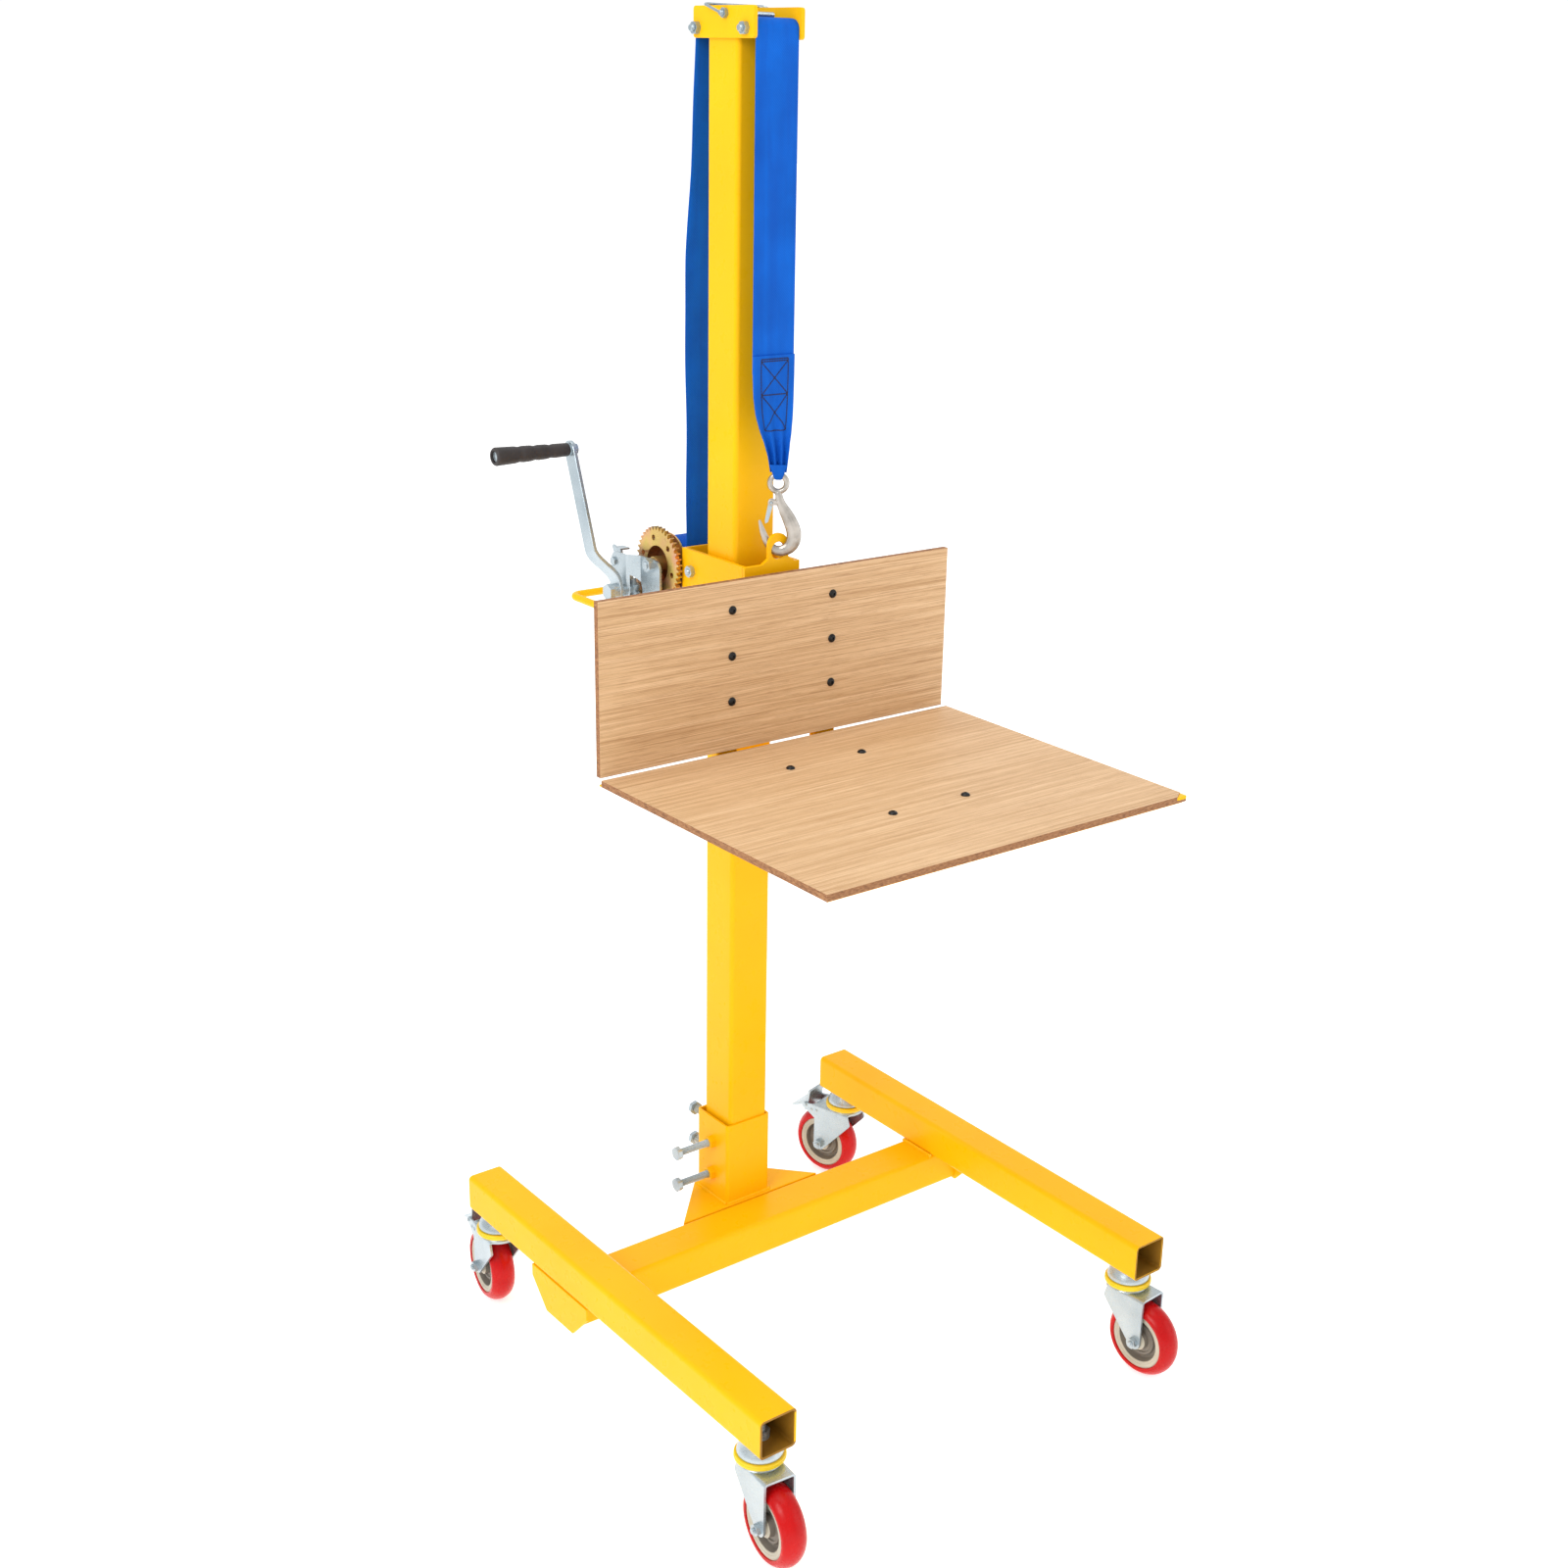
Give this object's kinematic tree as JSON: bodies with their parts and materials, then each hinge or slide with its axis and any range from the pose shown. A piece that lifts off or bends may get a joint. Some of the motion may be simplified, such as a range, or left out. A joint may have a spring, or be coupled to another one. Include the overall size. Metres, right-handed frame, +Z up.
{
  "type": "winch lift",
  "caption": "Hand-winch platform lift: caster base, square mast, strap-hoisted carriage with a deck board and a back board.",
  "frame": {"origin": "on the floor under the middle of the whole lift", "axes": "+Z up, -Y towards the deck, +X to the right seen from the deck"},
  "size_m": [0.6535, 0.8628, 1.6491],
  "materials": {
    "yellow_paint": "gloss powder coat",
    "zinc": "bright zinc plate",
    "yellow_zinc": "iridescent yellow zinc plate",
    "red_tread": "gloss moulded",
    "hub_nylon": "satin moulded",
    "ring_plastic": "satin moulded",
    "oak": "satin lacquer, grain along X",
    "webbing": "woven polyester",
    "black_steel": "black oxide",
    "black_grip": "moulded grip",
    "dark_nylon": "moulded",
    "pad_nylon": "moulded",
    "forged": "plated forging"
  },
  "bodies": {
    "base": {"side_tube_left": "yellow_paint", "side_tube_right": "yellow_paint", "cross_tube": "yellow_paint", "end_gussets": "yellow_paint", "mast_plate": "yellow_paint", "mast_socket": "yellow_paint", "clamp_bolts": "zinc", "mast_tube": "yellow_paint", "head_plates": "yellow_paint", "head_bolts": "zinc", "caster_stems": "zinc", "caster_rings": "ring_plastic", "strap_top": "webbing", "strap_front": "webbing", "strap_back": "webbing"},
    "carriage": {"carriage_sides": "yellow_paint", "carriage_front": "yellow_paint", "carriage_back": "yellow_paint", "guide_pads": "pad_nylon", "carriage_bolts": "zinc", "push_handle": "yellow_paint", "board_frame": "yellow_paint", "deck_tray": "yellow_paint", "back_board": "oak", "deck_board": "oak", "board_screws": "black_steel", "winch_frame": "zinc", "hook_body": "forged", "strap_end": "webbing"},
    "drum": {"winch_drum": "yellow_zinc", "drum_gear": "yellow_zinc", "strap_coil": "webbing"},
    "crank": {"pinion_shaft": "yellow_zinc", "crank_arm": "zinc"},
    "grip": {"crank_grip": "black_grip"},
    "pawl": {"ratchet_pawl": "zinc"},
    "latch": {"hook_latch": "zinc"},
    "bail": {"head_bail": "zinc"},
    "head_roller_f": {"head_roller_front": "dark_nylon"},
    "head_roller_b": {"head_roller_back": "dark_nylon"},
    "guide_upper": {"guide_roller_upper": "dark_nylon"},
    "guide_lower": {"guide_roller_lower": "dark_nylon"},
    "caster_fl": {"fork_fl": "zinc", "axle_fl": "zinc"},
    "wheel_fl": {"hub_fl": "hub_nylon", "tyre_fl": "red_tread"},
    "caster_fr": {"fork_fr": "zinc", "axle_fr": "zinc"},
    "wheel_fr": {"hub_fr": "hub_nylon", "tyre_fr": "red_tread"},
    "caster_bl": {"fork_bl": "zinc", "axle_bl": "zinc"},
    "wheel_bl": {"hub_bl": "hub_nylon", "tyre_bl": "red_tread"},
    "brake_bl": {"brake_bl": "zinc"},
    "caster_br": {"fork_br": "zinc", "axle_br": "zinc"},
    "wheel_br": {"hub_br": "hub_nylon", "tyre_br": "red_tread"},
    "brake_br": {"brake_br": "zinc"}
  },
  "joints": [
    {"name": "carriage_slide", "type": "slide", "parent": "base", "child": "carriage", "axis": [0, 0, 1], "range_m": [-0.6, 0.32], "deforming": ["strap_front", "strap_back"]},
    {"name": "drum_turn", "type": "hinge", "parent": "carriage", "child": "drum", "pos_m": [0, 0.219, 0.995], "axis": [1, 0, 0], "range_deg": [-2169, 1166]},
    {"name": "crank_turn", "type": "hinge", "parent": "carriage", "child": "crank", "pos_m": [0, 0.2598, 0.95628], "axis": [1, 0, 0], "range_deg": [-4604, 8615]},
    {"name": "head_roller_f_turn", "type": "hinge", "parent": "base", "child": "head_roller_f", "pos_m": [0, 0.061, 1.6225], "axis": [1, 0, 0], "range_deg": [-1658, 3090]},
    {"name": "head_roller_b_turn", "type": "hinge", "parent": "base", "child": "head_roller_b", "pos_m": [0, 0.154, 1.6225], "axis": [1, 0, 0], "range_deg": [-1658, 3090]},
    {"name": "guide_upper_turn", "type": "hinge", "parent": "carriage", "child": "guide_upper", "pos_m": [0, 0.1565, 0.997], "axis": [1, 0, 0], "range_deg": [-2391, 1285]},
    {"name": "guide_lower_turn", "type": "hinge", "parent": "carriage", "child": "guide_lower", "pos_m": [0, 0.0675, 0.897], "axis": [1, 0, 0], "range_deg": [-1285, 2391]},
    {"name": "grip_spin", "type": "hinge", "parent": "crank", "child": "grip", "pos_m": [-0.16, 0.32329, 1.12791], "axis": [1, 0, 0], "continuous": true},
    {"name": "pawl_swing", "type": "hinge", "parent": "carriage", "child": "pawl", "pos_m": [-0.0645, 0.283, 0.989], "axis": [1, 0, 0], "range_deg": [-6, 6], "stiffness_Nm_per_rad": 0.02},
    {"name": "latch_swing", "type": "hinge", "parent": "carriage", "child": "latch", "pos_m": [0.00278, 0.05353, 1.096], "axis": [0.6293, 0.7771, 0], "range_deg": [-25, 0], "stiffness_Nm_per_rad": 0.01},
    {"name": "bail_swing", "type": "hinge", "parent": "base", "child": "bail", "pos_m": [0, 0.099, 1.638], "axis": [1, 0, 0], "range_deg": [0, 146]},
    {"name": "swivel_fl", "type": "hinge", "parent": "base", "child": "caster_fl", "pos_m": [-0.295, -0.347, 0.119], "axis": [0, 0, 1], "continuous": true},
    {"name": "wheel_fl", "type": "hinge", "parent": "caster_fl", "child": "wheel_fl", "pos_m": [-0.29788, -0.37987, 0.051], "axis": [-0.9962, 0.0872, 0], "continuous": true},
    {"name": "swivel_fr", "type": "hinge", "parent": "base", "child": "caster_fr", "pos_m": [0.295, -0.347, 0.119], "axis": [0, 0, 1], "continuous": true},
    {"name": "wheel_fr", "type": "hinge", "parent": "caster_fr", "child": "wheel_fr", "pos_m": [0.2973, -0.37992, 0.051], "axis": [-0.9976, -0.0698, 0], "continuous": true},
    {"name": "swivel_bl", "type": "hinge", "parent": "base", "child": "caster_bl", "pos_m": [-0.295, 0.237, 0.119], "axis": [0, 0, 1], "continuous": true},
    {"name": "wheel_bl", "type": "hinge", "parent": "caster_bl", "child": "wheel_bl", "pos_m": [-0.29041, 0.26968, 0.051], "axis": [0.9903, -0.1392, 0], "continuous": true},
    {"name": "brake_bl", "type": "hinge", "parent": "caster_bl", "child": "brake_bl", "pos_m": [-0.28665, 0.29642, 0.108], "axis": [0.9903, -0.1392, 0], "range_deg": [-22, 0]},
    {"name": "swivel_br", "type": "hinge", "parent": "base", "child": "caster_br", "pos_m": [0.295, 0.237, 0.119], "axis": [0, 0, 1], "continuous": true},
    {"name": "wheel_br", "type": "hinge", "parent": "caster_br", "child": "wheel_br", "pos_m": [0.2859, 0.26872, 0.051], "axis": [0.9613, 0.2756, 0], "continuous": true},
    {"name": "brake_br", "type": "hinge", "parent": "caster_br", "child": "brake_br", "pos_m": [0.27846, 0.29468, 0.108], "axis": [0.9613, 0.2756, 0], "range_deg": [-22, 0]}
  ],
  "couplings": [
    {"joint": "drum_turn", "follows": "carriage_slide", "rad_per_m": 62.5},
    {"joint": "crank_turn", "follows": "carriage_slide", "rad_per_m": -250},
    {"joint": "head_roller_f_turn", "follows": "carriage_slide", "rad_per_m": -89.286},
    {"joint": "head_roller_b_turn", "follows": "carriage_slide", "rad_per_m": -89.286},
    {"joint": "guide_upper_turn", "follows": "carriage_slide", "rad_per_m": 68.966},
    {"joint": "guide_lower_turn", "follows": "carriage_slide", "rad_per_m": -68.966}
  ]
}
